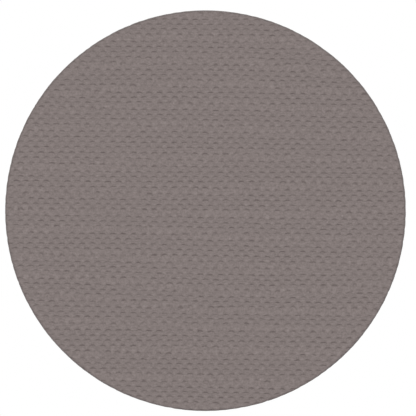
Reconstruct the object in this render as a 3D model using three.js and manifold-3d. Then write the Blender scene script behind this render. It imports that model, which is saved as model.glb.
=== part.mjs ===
// Round collapsible backdrop panel, 560 mm across, hung by an eyelet in a webbing tab behind its top edge.
//
// A flat spring-steel hoop holds a coarse woven face cloth as tight as a drum skin. The cloth turns
// round the hoop and is hemmed on the back, where a lining disc closes the panel and a tape covers
// the raw edge.
// Units are millimetres. +Z is up, the face looks along -Y, and the origin is the centre of the
// hanging eyelet. Panel pieces are made about the panel's own centre, with the hoop's axis along Y,
// and the panel group places them.

import * as THREE from "three";
import { mergeVertices } from "three/addons/utils/BufferGeometryUtils.js";
import Module from "manifold-3d";

const wasm = await Module();
wasm.setup();

// ---------------------------------------------------------------- driving dimensions

const PANEL_RADIUS = 280;
const HOOP_WIDTH = 4; // of the steel band, along the panel's axis
const HOOP_THICKNESS = 1;
const CLOTH = 1.1; // thickness of the woven face cloth
const LINING = 0.6;
const TAPE = 0.6;
const WEBBING = 2.4; // the hanging tab is two layers of 1.2
const ELASTIC = 1.4;
const GAP = 0.3; // air between pieces that touch

const FOLD_HALF = 22; // the strip on each side of the fold line that bends instead of staying flat
const HEM_WIDTH = 18;
const TAPE_WIDTH = 14;

const TAB_WIDTH = 25;
const EYELET_DROP = 32; // from the panel's top edge down to the eyelet's centre
const EYELET_BORE = 5;
const TAB_ABOVE_EYELET = 18;
const TAB_BELOW_EYELET = 24; // down to the line the tab hinges on
const TAB_FOOT = 25; // the sewn-down end

const KEEPER_X = 70;
const KEEPER_HINGE_Z = 207; // above the panel's centre
const KEEPER_WIDTH = 20;
const KEEPER_FREE = 62;
const KEEPER_FOOT = 20;

// The care label, from the panel's centre.
const LABEL = { x: -80, z: -213, width: 28, height: 18, thickness: 0.4, corner: 0.5 };

// Radii and heights of the eyelet and the snap. Heights are measured from the strap they sit on.
const EYELET = { flange: 9.5, wall: 0.9, lip: 0.8, bevel: 0.4 };
const SNAP = {
  shank: 2, // of the cap, through the strap
  shankRise: 1.2,
  cap: 6,
  capHeight: 1.5,
  capRim: 0.8,
  capBevel: 1,
  socket: 5.5,
  socketHeight: 2,
  socketBevel: 0.6,
  socketWall: 1.4, // both the ring's wall round the mouth and the height its outside stays straight
  socketFloor: 0.9,
  post: 1.5,
  postRise: 1,
  head: 5, // of the post, under the patch
  headHeight: 0.8,
  stud: 5,
  studFlange: 0.7,
  studHeight: 2.6,
  studBore: 1.3,
  nub: 2.9, // the part that clicks into the socket
};
const RIVET = { head: 1.55, headHeight: 0.45, headTaper: 0.7, shank: 0.9 };

const CLOTH_TURN = 2; // radius of the cloth's turn over the hoop

const SEGMENTS = 96; // round the panel
const SMALL_SEGMENTS = 24; // round the eyelet, snaps and rivets
const CORNER_SEGMENTS = 4;

// ---------------------------------------------------------------- sizes that follow

// From the mid-plane to the inside of the cloth: half the hoop, the splice sleeve and air.
const ROOM = HOOP_WIDTH / 2 + 1;
const FACE_Y = ROOM + CLOTH; // the cloth's outside, in front and on the hem
const CLOTH_WALL = PANEL_RADIUS - CLOTH; // inside of the cloth round the rim
const HEM_INNER = PANEL_RADIUS - HEM_WIDTH;
const HOOP_OUTER = CLOTH_WALL - 1.8; // leaves room for the splice's rivet heads and sleeve
const HOOP_INNER = HOOP_OUTER - HOOP_THICKNESS;

const LINING_RADIUS = PANEL_RADIUS - 8;
const LINING_BACK = ROOM - GAP;
const PATCH_Y = LINING_BACK + GAP; // where the sewn patches start
const TAPE_TOP = FACE_Y + GAP + TAPE;
const WEBBING_Y = TAPE_TOP + GAP; // webbing lies clear of the tape
const PATCH = WEBBING_Y - GAP - PATCH_Y;
const TAB_MID_Y = WEBBING_Y + WEBBING / 2;

const EYELET_Z = PANEL_RADIUS - EYELET_DROP;
const TAB_HINGE_Z = EYELET_Z - TAB_BELOW_EYELET;
const HINGE_RELIEF = 1.6; // each side of a webbing hinge line

const SPLICE_HALF = 24;
const SLEEVE_HALF = 30;
const SLEEVE_WALL = 0.35;
const SLEEVE_ROOM = 0.6; // inside the sleeve, under the rivet heads
const RIVET_OFFSETS = [-17, -7, 7, 17]; // along the hoop from the joint
const HUGE = 2 * PANEL_RADIUS;

// ---------------------------------------------------------------- materials

const material = (color, roughness, metalness = 0) =>
  new THREE.MeshStandardMaterial({ color, roughness, metalness });

const MATERIALS = {
  face_cloth: material(0x827876, 0.95),
  lining: material(0x2b2a2b, 0.9),
  tape: material(0x1d1d1f, 0.9),
  webbing: material(0x202022, 0.85),
  elastic: material(0x242426, 0.85),
  patch: material(0x252426, 0.8),
  label: material(0xd9d6cf, 0.7),
  spring_steel: material(0x6e747c, 0.35, 1),
  nickel: material(0xb9b6ae, 0.25, 1),
  shrink_tube: material(0x141415, 0.5),
};

// ---------------------------------------------------------------- solids

/** A geometry as a manifold-3d solid, turned the right way out. */
function solid(geometry) {
  const bare = geometry.index ? geometry.toNonIndexed() : geometry.clone();
  bare.deleteAttribute("normal");
  bare.deleteAttribute("uv");
  const merged = mergeVertices(bare, 1e-4);
  const corners = [];
  for (let i = 0; i < merged.index.count; i += 3) {
    const [a, b, c] = [0, 1, 2].map((k) => merged.index.getX(i + k));
    if (a !== b && b !== c && c !== a) corners.push(a, b, c);
  }
  const build = (triVerts) =>
    new wasm.Manifold(
      new wasm.Mesh({
        numProp: 3,
        vertProperties: new Float32Array(merged.attributes.position.array),
        triVerts: new Uint32Array(triVerts),
      }),
    );
  const made = build(corners);
  return made.volume() < 0 ? build(corners.reverse()) : made;
}

/** A manifold-3d solid as a geometry. */
function geometryOf(made) {
  const mesh = made.getMesh();
  const geometry = new THREE.BufferGeometry();
  geometry.setAttribute("position", new THREE.BufferAttribute(new Float32Array(mesh.vertProperties), 3));
  geometry.setIndex(new THREE.BufferAttribute(new Uint32Array(mesh.triVerts), 1));
  geometry.computeVertexNormals();
  return geometry;
}

/** A box from one corner to the other. */
function box(low, high) {
  const size = low.map((v, i) => high[i] - v);
  const centre = low.map((v, i) => (high[i] + v) / 2);
  return solid(new THREE.BoxGeometry(...size).translate(...centre));
}

/** A profile of [radius, y] points turned about the Y axis. Off the axis, the profile closes on itself. */
function turned(profile, segments = SEGMENTS) {
  const onAxis = profile[0][0] === 0;
  const outline = onAxis ? profile : [...profile, profile[0]];
  const points = outline.map(([r, y]) => new THREE.Vector2(r, y));
  return solid(new THREE.LatheGeometry(points, segments));
}

/** A ring of rectangular section about the Y axis. */
const ring = (inner, outer, back, front) =>
  turned([[inner, back], [outer, back], [outer, front], [inner, front]]);

/** A round disc or rod along Y. */
const disc = (radius, from, to, segments = SEGMENTS) =>
  turned([[0, from], [radius, from], [radius, to], [0, to]], segments);
const rod = (radius, from, to) => disc(radius, from, to, SMALL_SEGMENTS);

/** A plate in the XZ plane with rounded corners, from y = 0 to its thickness, centred on x and z. */
function plate(width, height, thickness, corner) {
  const [x, z] = [width / 2, height / 2];
  const outline = new THREE.Shape();
  outline.moveTo(-x + corner, -z);
  outline.absarc(x - corner, -z + corner, corner, -Math.PI / 2, 0);
  outline.absarc(x - corner, z - corner, corner, 0, Math.PI / 2);
  outline.absarc(-x + corner, z - corner, corner, Math.PI / 2, Math.PI);
  outline.absarc(-x + corner, -z + corner, corner, Math.PI, 1.5 * Math.PI);
  const flat = new THREE.ExtrudeGeometry(outline, {
    depth: thickness,
    bevelEnabled: false,
    curveSegments: CORNER_SEGMENTS,
  });
  return solid(flat.rotateX(Math.PI / 2).translate(0, thickness, 0));
}

/** A plate placed with its middle at x, z and its panel side at y. */
const plateAt = (x, y, z, width, height, thickness, corner = 2) =>
  plate(width, height, thickness, corner).translate([x, y, z]);

/** The parts of a panel piece above the fold strip, in it, and below it. */
const above = (made) => made.intersect(box([-HUGE, -HUGE, FOLD_HALF], [HUGE, HUGE, HUGE]));
const below = (made) => made.intersect(box([-HUGE, -HUGE, -HUGE], [HUGE, HUGE, -FOLD_HALF]));
const inStrip = (made) => {
  const reach = FOLD_HALF - GAP;
  return made.intersect(box([-HUGE, -HUGE, -reach], [HUGE, HUGE, reach]));
};
const leftOf = (made, x = 0) => made.intersect(box([-HUGE, -HUGE, -HUGE], [x, HUGE, HUGE]));
const rightOf = (made, x = 0) => made.intersect(box([x, -HUGE, -HUGE], [HUGE, HUGE, HUGE]));

function mesh(name, made, finish) {
  const piece = new THREE.Mesh(geometryOf(made), MATERIALS[finish]);
  piece.name = name;
  return piece;
}

// ---------------------------------------------------------------- face cloth, lining and tape

/** The face cloth: a flat front, a rounded turn over the hoop, and the hem on the back. */
function faceCloth() {
  const edge = CLOTH_TURN;
  const turn = (y, from) =>
    [0, 1, 2, 3].map((i) => {
      const angle = from + (i * Math.PI) / 6;
      return [PANEL_RADIUS - edge + edge * Math.cos(angle), y + edge * Math.sin(angle)];
    });
  return turned([
    [0, -FACE_Y],
    ...turn(-FACE_Y + edge, -Math.PI / 2),
    ...turn(FACE_Y - edge, 0),
    [HEM_INNER, FACE_Y],
    [HEM_INNER, ROOM],
    [CLOTH_WALL, ROOM],
    [CLOTH_WALL, -ROOM],
    [0, -ROOM],
  ]);
}

const lining = () => disc(LINING_RADIUS, LINING_BACK - LINING, LINING_BACK);

/** The tape over the hem's raw edge: half of it on the hem, half stepped down onto the lining. */
function hemTape() {
  const step = HEM_INNER - GAP;
  const [inner, outer] = [HEM_INNER - TAPE_WIDTH / 2, HEM_INNER + TAPE_WIDTH / 2];
  return turned([
    [inner, PATCH_Y],
    [step, PATCH_Y],
    [step, FACE_Y + GAP],
    [outer, FACE_Y + GAP],
    [outer, TAPE_TOP],
    [step - TAPE, TAPE_TOP],
    [step - TAPE, PATCH_Y + TAPE],
    [inner, PATCH_Y + TAPE],
  ]);
}

// ---------------------------------------------------------------- hoop and its splice

/** Something at the bottom of the hoop turned about the panel's axis to lie an arc length along it. */
const alongHoop = (made, offset) => made.rotate([0, -THREE.MathUtils.radToDeg(offset / HOOP_OUTER), 0]);

const rivetHoles = () =>
  RIVET_OFFSETS.map((offset) =>
    alongHoop(rod(RIVET.shank + GAP, -5, 5).rotate([90, 0, 0]).translate([0, 0, -HOOP_INNER]), offset),
  );

const drilled = (made) => rivetHoles().reduce((left, hole) => left.subtract(hole), made);

function hoop() {
  const w = HOOP_WIDTH / 2;
  return drilled(ring(HOOP_INNER, HOOP_OUTER, -w, w));
}

/** Both ends of the band meet over this plate, which lies inside the hoop. */
function splicePlate() {
  const w = HOOP_WIDTH / 2;
  const outer = HOOP_INNER - GAP;
  const whole = drilled(ring(outer - HOOP_THICKNESS, outer, -w, w));
  return below(leftOf(rightOf(whole, -SPLICE_HALF), SPLICE_HALF));
}

/** A rivet through band and plate, at the bottom of the hoop. Its axis is radial. */
function rivet() {
  const [outer, inner] = [HOOP_OUTER + GAP, HOOP_INNER - GAP - HOOP_THICKNESS - GAP];
  const narrow = RIVET.head * RIVET.headTaper;
  return turned(
    [
      [0, inner - RIVET.headHeight],
      [narrow, inner - RIVET.headHeight],
      [RIVET.head, inner],
      [RIVET.shank, inner],
      [RIVET.shank, outer],
      [RIVET.head, outer],
      [narrow, outer + RIVET.headHeight],
      [0, outer + RIVET.headHeight],
    ],
    SMALL_SEGMENTS / 2,
  ).rotate([-90, 0, 0]);
}

/** Heat-shrink tube over the whole splice. */
function spliceSleeve() {
  const [w, outer] = [HOOP_WIDTH / 2 + GAP, CLOTH_WALL - GAP];
  const inner = HOOP_INNER - HOOP_THICKNESS - 3 * GAP - SLEEVE_ROOM;
  const shell = ring(inner - SLEEVE_WALL, outer, -w - SLEEVE_WALL, w + SLEEVE_WALL);
  const core = ring(inner, outer - SLEEVE_WALL, -w, w);
  const tube = shell.subtract(core);
  return below(leftOf(rightOf(tube, -SLEEVE_HALF), SLEEVE_HALF));
}

// ---------------------------------------------------------------- hanging tab, about the eyelet's centre

function tabWebbing() {
  const height = TAB_ABOVE_EYELET + TAB_BELOW_EYELET - HINGE_RELIEF;
  const middle = TAB_ABOVE_EYELET - height / 2;
  const strap = plateAt(0, -WEBBING / 2, middle, TAB_WIDTH, height, WEBBING, 3);
  const hole = EYELET_BORE + EYELET.wall + GAP;
  return strap.subtract(rod(hole, -WEBBING, WEBBING));
}

/** The flanged barrel that passes through the webbing from the panel's side. */
function eyeletBarrel() {
  const inside = -WEBBING / 2 - GAP;
  const end = WEBBING / 2 + GAP + EYELET.lip;
  const tube = EYELET_BORE + EYELET.wall;
  return turned(
    [
      [EYELET_BORE, inside - EYELET.lip],
      [EYELET.flange - EYELET.bevel, inside - EYELET.lip],
      [EYELET.flange, inside],
      [tube, inside],
      [tube, end],
      [EYELET_BORE, end],
    ],
    SMALL_SEGMENTS,
  );
}

/** The washer that the barrel is rolled over. */
function eyeletWasher() {
  const start = WEBBING / 2 + GAP;
  const hole = EYELET_BORE + EYELET.wall + GAP;
  return turned(
    [
      [hole, start],
      [EYELET.flange, start],
      [EYELET.flange - EYELET.bevel, start + EYELET.lip],
      [hole, start + EYELET.lip],
    ],
    SMALL_SEGMENTS,
  );
}

/** The tab's sewn-down end, and the patch it is sewn through. */
const FOOT_LENGTH = TAB_FOOT - HINGE_RELIEF;
const FOOT_MIDDLE = TAB_HINGE_Z - HINGE_RELIEF - FOOT_LENGTH / 2;
const tabFoot = () => plateAt(0, WEBBING_Y, FOOT_MIDDLE, TAB_WIDTH, FOOT_LENGTH, WEBBING, 1);
const tabPatch = () => plateAt(0, PATCH_Y, FOOT_MIDDLE, TAB_WIDTH + 15, TAB_FOOT + 10, PATCH, 4);

function careLabel() {
  const { x, z, width, height, thickness, corner } = LABEL;
  return plateAt(x, PATCH_Y, z, width, height, thickness, corner);
}

// ---------------------------------------------------------------- keeper strap and its snap

const ELASTIC_TOP = WEBBING_Y + ELASTIC;
const SNAP_Y = ELASTIC_TOP + GAP;
const SOCKET_Z = KEEPER_HINGE_Z - KEEPER_FREE + 10;
const STUD_Z = KEEPER_HINGE_Z + KEEPER_FOOT / 2;

function keeperPatch() {
  const height = KEEPER_FOOT + 8;
  const sheet = plateAt(KEEPER_X, PATCH_Y, STUD_Z, KEEPER_WIDTH + 10, height, PATCH, 3);
  const seat = rod(SNAP.head + GAP, PATCH_Y - 1, PATCH_Y + 1.1);
  const hole = rod(SNAP.post + GAP, 0, 10);
  return sheet.subtract(seat.add(hole).translate([KEEPER_X, 0, STUD_Z]));
}

function keeperFoot() {
  const height = KEEPER_FOOT - HINGE_RELIEF;
  const z = KEEPER_HINGE_Z + HINGE_RELIEF + height / 2;
  const sewn = plateAt(KEEPER_X, WEBBING_Y, z, KEEPER_WIDTH, height, ELASTIC, 1);
  return sewn.subtract(rod(SNAP.post + GAP, 0, 10).translate([KEEPER_X, 0, STUD_Z]));
}

function keeperStrap() {
  const height = KEEPER_FREE - HINGE_RELIEF;
  const z = KEEPER_HINGE_Z - HINGE_RELIEF - height / 2;
  const free = plateAt(KEEPER_X, WEBBING_Y, z, KEEPER_WIDTH, height, ELASTIC, 4);
  return free.subtract(rod(SNAP.shank + GAP, 0, 10).translate([KEEPER_X, 0, SOCKET_Z]));
}

const atSocket = (made) => made.translate([KEEPER_X, 0, SOCKET_Z]);
const atStud = (made) => made.translate([KEEPER_X, 0, STUD_Z]);

/** The cap lies on the strap's panel side and its shank comes through to the socket. */
function snapCap() {
  const [top, shankEnd] = [WEBBING_Y - GAP, SNAP_Y + SNAP.shankRise];
  return turned(
    [
      [0, top - SNAP.capHeight],
      [SNAP.cap - SNAP.capBevel, top - SNAP.capHeight],
      [SNAP.cap, top - SNAP.capRim],
      [SNAP.cap, top],
      [SNAP.shank, top],
      [SNAP.shank, shankEnd],
      [0, shankEnd],
    ],
    SMALL_SEGMENTS,
  );
}

function snapSocket() {
  const [hole, mouth] = [SNAP.shank + GAP, SNAP.shank + SNAP.socketWall];
  const [floor, rim] = [SNAP_Y + SNAP.socketFloor, SNAP_Y + SNAP.socketHeight];
  return turned(
    [
      [hole, SNAP_Y],
      [SNAP.socket, SNAP_Y],
      [SNAP.socket, SNAP_Y + SNAP.socketWall],
      [SNAP.socket - SNAP.socketBevel, rim],
      [mouth, rim],
      [mouth, floor],
      [hole, floor],
    ],
    SMALL_SEGMENTS,
  );
}

function snapPost() {
  const [neck, end] = [PATCH_Y + SNAP.headHeight, SNAP_Y + SNAP.postRise];
  return turned(
    [[0, PATCH_Y], [SNAP.head, PATCH_Y], [SNAP.head, neck], [SNAP.post, neck], [SNAP.post, end], [0, end]],
    SMALL_SEGMENTS,
  );
}

function snapStud() {
  const inside = SNAP.post + GAP;
  const end = SNAP_Y + SNAP.studHeight;
  return turned(
    [
      [0, SNAP_Y + SNAP.studBore],
      [inside, SNAP_Y + SNAP.studBore],
      [inside, SNAP_Y],
      [SNAP.stud, SNAP_Y],
      [SNAP.stud, SNAP_Y + SNAP.studFlange],
      [SNAP.nub - 0.3, SNAP_Y + SNAP.studFlange + 0.2],
      [SNAP.nub, end - 0.5],
      [SNAP.nub - 0.6, end],
      [0, end],
    ],
    SMALL_SEGMENTS,
  );
}

// ---------------------------------------------------------------- assembly

function hangingTab() {
  const group = new THREE.Group();
  group.add(
    mesh("hang_tab_webbing", tabWebbing(), "webbing"),
    mesh("eyelet_barrel", eyeletBarrel(), "nickel"),
    mesh("eyelet_washer", eyeletWasher(), "nickel"),
  );
  return group;
}

function upperPanel() {
  const group = new THREE.Group();
  const [cloth, back, tape, band] = [faceCloth(), lining(), hemTape(), hoop()];
  group.add(
    mesh("hoop_upper", above(band), "spring_steel"),
    mesh("hoop_bend_left", leftOf(inStrip(band)), "spring_steel"),
    mesh("hoop_bend_right", rightOf(inStrip(band)), "spring_steel"),
    mesh("face_cloth_upper", above(cloth), "face_cloth"),
    mesh("face_cloth_bend", inStrip(cloth), "face_cloth"),
    mesh("back_lining_upper", above(back), "lining"),
    mesh("back_lining_bend", inStrip(back), "lining"),
    mesh("hem_tape_upper", above(tape), "tape"),
    mesh("hem_tape_bend_left", leftOf(inStrip(tape)), "tape"),
    mesh("hem_tape_bend_right", rightOf(inStrip(tape)), "tape"),
    mesh("tab_patch", tabPatch(), "patch"),
    mesh("tab_foot", tabFoot(), "webbing"),
    mesh("keeper_patch", keeperPatch(), "patch"),
    mesh("keeper_foot", keeperFoot(), "elastic"),
    mesh("snap_post", atStud(snapPost()), "nickel"),
    mesh("snap_stud", atStud(snapStud()), "nickel"),
  );
  return group;
}

function lowerPanel() {
  const group = new THREE.Group();
  const band = below(hoop());
  group.add(
    mesh("hoop_lower_left", leftOf(band, -GAP), "spring_steel"),
    mesh("hoop_lower_right", rightOf(band, GAP), "spring_steel"),
    mesh("face_cloth_lower", below(faceCloth()), "face_cloth"),
    mesh("back_lining_lower", below(lining()), "lining"),
    mesh("hem_tape_lower", below(hemTape()), "tape"),
    mesh("splice_plate", splicePlate(), "spring_steel"),
    ...RIVET_OFFSETS.map((offset, i) =>
      mesh(`splice_rivet_${i + 1}`, alongHoop(rivet(), offset), "nickel"),
    ),
    mesh("splice_sleeve", spliceSleeve(), "shrink_tube"),
    mesh("care_label", careLabel(), "label"),
  );
  return group;
}

function keeper() {
  const group = new THREE.Group();
  group.add(
    mesh("keeper_strap", keeperStrap(), "elastic"),
    mesh("snap_cap", atSocket(snapCap()), "nickel"),
    mesh("snap_socket", atSocket(snapSocket()), "nickel"),
  );
  return group;
}

const panel = new THREE.Group();
panel.position.set(0, -TAB_MID_Y, -EYELET_Z);
panel.add(upperPanel(), lowerPanel(), keeper());

const backdrop = new THREE.Group();
backdrop.add(hangingTab(), panel);

export default backdrop;
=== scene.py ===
"""Looks of the round collapsible backdrop panel. Metres, +Z up, face towards -Y, as in the CAD model."""

import math

import bmesh
import bpy
import numpy as np
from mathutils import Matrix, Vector
from mathutils.geometry import delaunay_2d_cdt


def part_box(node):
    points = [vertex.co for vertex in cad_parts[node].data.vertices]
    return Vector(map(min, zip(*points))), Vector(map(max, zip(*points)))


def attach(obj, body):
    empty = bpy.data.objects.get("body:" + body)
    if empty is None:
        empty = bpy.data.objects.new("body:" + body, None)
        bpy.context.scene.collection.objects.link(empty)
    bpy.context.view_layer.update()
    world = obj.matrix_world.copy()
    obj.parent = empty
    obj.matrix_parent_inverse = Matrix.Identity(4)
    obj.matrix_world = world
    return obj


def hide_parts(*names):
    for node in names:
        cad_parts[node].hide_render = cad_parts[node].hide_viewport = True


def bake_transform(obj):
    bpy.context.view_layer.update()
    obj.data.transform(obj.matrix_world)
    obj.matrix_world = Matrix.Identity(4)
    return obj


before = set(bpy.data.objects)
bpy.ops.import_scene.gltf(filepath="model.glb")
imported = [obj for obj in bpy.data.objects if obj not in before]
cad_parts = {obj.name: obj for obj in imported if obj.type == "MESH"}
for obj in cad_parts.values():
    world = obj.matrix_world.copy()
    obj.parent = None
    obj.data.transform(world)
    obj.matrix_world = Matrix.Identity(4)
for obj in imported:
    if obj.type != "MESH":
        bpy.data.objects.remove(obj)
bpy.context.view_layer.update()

MM = 0.001
TAU = 2 * math.pi
rng = np.random.default_rng(7)


# ---- places, read from the CAD model


def span(*nodes):
    """Lowest and highest corner of several CAD nodes together."""
    boxes = [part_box(n) for n in nodes]
    return np.min([b[0] for b in boxes], 0), np.max([b[1] for b in boxes], 0)


CLOTH_NODES = ("face_cloth_upper", "face_cloth_bend", "face_cloth_lower")
LINING_NODES = ("back_lining_upper", "back_lining_bend", "back_lining_lower")
TAPE_NODES = ("hem_tape_upper", "hem_tape_bend_left", "hem_tape_bend_right", "hem_tape_lower")
HOOP_NODES = ("hoop_upper", "hoop_bend_left", "hoop_bend_right", "hoop_lower_left", "hoop_lower_right")

cloth_low, cloth_high = span(*CLOTH_NODES)
CENTRE = (cloth_low + cloth_high) / 2  # of the panel
RADIUS = (cloth_high[0] - cloth_low[0]) / 2
HALF = (cloth_high[1] - cloth_low[1]) / 2  # half the rim's thickness
ROLL = RADIUS - HALF  # where the flat front ends and the cloth starts to turn over the hoop

lining_high = span(*LINING_NODES)[1]
LINING_Y = lining_high[1] - CENTRE[1]
tape_low, tape_high = span(*TAPE_NODES)
TAPE_Y = tape_high[1] - CENTRE[1]
TAPE_OUTER = (tape_high[0] - tape_low[0]) / 2
bend_low, bend_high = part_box("hem_tape_bend_right")
# The corner of this box is on the tape's inner edge
TAPE_INNER = math.hypot(bend_low[0] - CENTRE[0], bend_high[2] - CENTRE[2])
HEM_INNER = (TAPE_INNER + TAPE_OUTER) / 2
HEM_RUN = HALF * math.pi + ROLL - HEM_INNER  # from where the flat front ends, over the rim, to the cut edge
LINED = HEM_INNER + 4 * MM  # the lining's radius: it runs in under the hem


def stand_for(piece, slot, *nodes):
    """piece stands in for the CAD nodes, which are hidden when any are named. slot is not used."""
    if nodes:
        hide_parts(*nodes)
    return piece


def fit(piece, body, slot, *nodes):
    """For a piece that rides on one body."""
    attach(piece, body)
    return stand_for(piece, slot, *nodes)


def across_fold(piece, slot, *nodes):
    """For a piece that crosses the panel's fold: its transform is baked into its mesh."""
    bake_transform(piece)
    return stand_for(piece, slot, *nodes)


# ---- meshes


def add_object(name, data):
    made = bpy.data.objects.new(name, data)
    bpy.context.scene.collection.objects.link(made)
    return made


def make(name, points, faces, lay, material):
    """A smooth mesh object. lay is each point's place on the laid-flat piece, in metres."""
    points = np.asarray(points, float)
    mesh = bpy.data.meshes.new(name)
    mesh.from_pydata(points.tolist(), [], [list(map(int, f)) for f in faces])
    mesh.validate()
    flat = mesh.attributes.new("lay", "FLOAT_VECTOR", "POINT")
    flat.data.foreach_set("vector", np.asarray(lay, np.float32).ravel())
    mesh.polygons.foreach_set("use_smooth", [True] * len(mesh.polygons))
    piece = add_object(name, mesh)
    if material:
        mesh.materials.append(material)
    return piece


def grid_faces(rows, columns, wrap=False, start=0, flip=False):
    """Quads between rows of points; wrap joins the last column to the first."""
    j, i = np.meshgrid(np.arange(rows - 1), np.arange(columns if wrap else columns - 1), indexing="ij")
    k = (i + 1) % columns
    quads = np.stack([j * columns + i, j * columns + k, (j + 1) * columns + k, (j + 1) * columns + i], -1)
    quads = quads.reshape(-1, 4) + start
    return [tuple(q) for q in (quads[:, ::-1] if flip else quads)]


def ring_points(profile, segments):
    """The profile's (radius, y) turned about the panel's axis: rows of points, and places laid flat."""
    angle = np.arange(segments) * TAU / segments
    points, lay = [], []
    along = 0.0
    for n, (r, y) in enumerate(profile):
        if n:
            along += math.hypot(r - profile[n - 1][0], y - profile[n - 1][1])
        points.append(np.stack([r * np.sin(angle), np.full(segments, y), r * np.cos(angle)], -1))
        lay.append(np.stack([profile[0][0] * angle, np.full(segments, along), np.zeros(segments)], -1))
    return np.concatenate(points), np.concatenate(lay)


def turned(name, profile, segments, centre, material, closed=False):
    """A lathe piece about Y through centre. A profile that starts or ends at radius 0 is capped there."""
    points, faces, rows = [], [], []
    angle = np.arange(segments) * TAU / segments
    for r, y in profile:
        rows.append(len(points))
        points += [(r * math.sin(a), y, r * math.cos(a)) for a in (angle if r else angle[:1])]
    pairs = list(zip(range(len(profile) - 1), range(1, len(profile))))
    if closed:
        pairs.append((len(profile) - 1, 0))
    for a, b in pairs:
        for i in range(segments):
            k = (i + 1) % segments
            top = [rows[a]] if profile[a][0] == 0 else [rows[a] + i, rows[a] + k]
            low = [rows[b]] if profile[b][0] == 0 else [rows[b] + k, rows[b] + i]
            faces.append(top + low)
    lay = np.array(points)
    return solid(name, lay + np.asarray(centre), faces, lay, material)


def solid(*settings):
    """make(), with every face turned outwards."""
    piece = make(*settings)
    bm = bmesh.new()
    bm.from_mesh(piece.data)
    bmesh.ops.recalc_face_normals(bm, faces=bm.faces)
    bm.to_mesh(piece.data)
    bm.free()
    return piece


# ---- the weave of the face cloth

COLUMN = 7.165 * MM  # from a bump to the dark dash beside it
ROW = 7.9 * MM  # the same, up the cloth, on average
ROW_JITTER = 0.05
SLOPE = 0.011  # rows fall to the right by this much
BUMP = 0.8 * MM  # height of the relief
TROUGH = 0.45 * MM
MARGIN = 0.06  # the weave is laid out this far past the rim, for the turned edge and hem
RING_GAP = 0.7 * MM  # between the woven grid and the rings round the rim, filled with triangles

# Beaten unevenly: every few rows a wider lane, the rows between drawn closer. Lanes come and go.
LANE_ROWS = 4.3
LANE_SQUEEZE = 0.14
LANE_WIDTH = 0.1

row_count = int(math.ceil((RADIUS + MARGIN) / ROW))
row_v = np.arange(-row_count, row_count + 1, dtype=float)
row_z = (row_v + rng.normal(0, ROW_JITTER, len(row_v))) * ROW


def waves(count, shortest, longest, size):
    return [(rng.uniform(1 / longest, 1 / shortest), rng.uniform(0, TAU), size) for _ in range(count)]


sway_x, sway_z = waves(4, 0.05, 0.15, 0.2 * MM), waves(4, 0.05, 0.15, 0.2 * MM)
lane_waves = [
    (rng.uniform(-1, 1) / 0.5, rng.uniform(-1, 1) / 0.1, rng.uniform(0, TAU), rng.uniform(0.06, 0.16))
    for _ in range(9)
]


def sway(t, table):
    """A small smooth wander along t."""
    return sum(size * np.sin(TAU * rate * t + phase) for rate, phase, size in table)


def lane(x, z):
    """Where (x, z) of the even cloth is in the round from one lane to the next: -0.5 to 0.5, lane at 0."""
    turn = z / (LANE_ROWS * ROW) + sum(
        size * np.sin(TAU * (across * x + up * z) + phase) for across, up, phase, size in lane_waves
    )
    return turn - np.round(turn)


def spread(x, z):
    """How far the lanes move (x, z) of the evenly woven cloth up the cloth."""
    f = lane(x, z)
    return LANE_ROWS * ROW * LANE_SQUEEZE * (0.5 * np.tanh(1.2 * f / LANE_WIDTH) - f)


def place_of(u, v):
    """The place on the laid-flat cloth of column u and row v."""
    even = np.interp(v, row_v, row_z)
    x = u * COLUMN
    z = even + spread(x, even) - SLOPE * x + sway(x, sway_x)
    return x + sway(even, sway_z), z


def weave_at(x, z):
    """(u, v) of a place on the laid-flat cloth: the other way round from place_of."""
    even, straight = np.array(z, float), np.array(x, float)
    for _ in range(30):
        straight = x - sway(even, sway_z)
        even = z - spread(straight, even) + SLOPE * straight - sway(straight, sway_x)
    return straight / COLUMN, np.interp(even, row_z, row_v)


def laneness(u, v):
    """1 in the middle of a lane, 0 away from it."""
    return np.exp(-((lane(u * COLUMN, np.interp(v, row_v, row_z)) / LANE_WIDTH) ** 2))


REPEAT = 512  # columns and rows after which the sizes of the bumps come again
bump_size = rng.uniform(0.7, 1.1, (REPEAT, REPEAT))


def relief(u, v):
    """Height of the cloth above its low points: rounded bumps in a brick pattern, dashes between."""
    c = np.cos(math.pi * u) * np.cos(math.pi * v)
    dome = (0.5 * (1 - c)) ** 0.62
    i, j = np.round(u).astype(int), np.round(v).astype(int)
    size = bump_size[i % REPEAT, j % REPEAT]
    s = np.mod(u - j + 1, 2) - 1
    dash = np.exp(-((s / 0.62) ** 4)) * np.exp(-(((v - j) + 0.22 * s**2) ** 2) / 0.03)
    return (BUMP * dome * (0.8 + 0.2 * size) - TROUGH * dash) * (1 - 0.45 * laneness(u, v))


def cloth_grid():
    """The flat front as a grid that follows the yarns: points (x, z), (u, v) and quads inside the roll."""
    reach = int(math.ceil(RADIUS / min(COLUMN, ROW))) + 3
    u = np.arange(-reach * 4, reach * 4 + 1) / 4
    v = (np.arange(-reach, reach)[:, None] + np.array([0, 0.14, 0.38, 0.62, 0.86])[None, :]).ravel()
    uu, vv = np.meshgrid(u, v)
    x, z = place_of(uu.ravel(), vv.ravel())
    inside = np.hypot(x, z) < ROLL - RING_GAP
    quads = np.array(grid_faces(len(v), len(u)))
    quads = quads[inside[quads].all(1)]
    used = np.unique(quads)
    renumber = np.full(len(x), -1)
    renumber[used] = np.arange(len(used))
    return x[used], z[used], uu.ravel()[used], vv.ravel()[used], renumber[quads]


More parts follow.
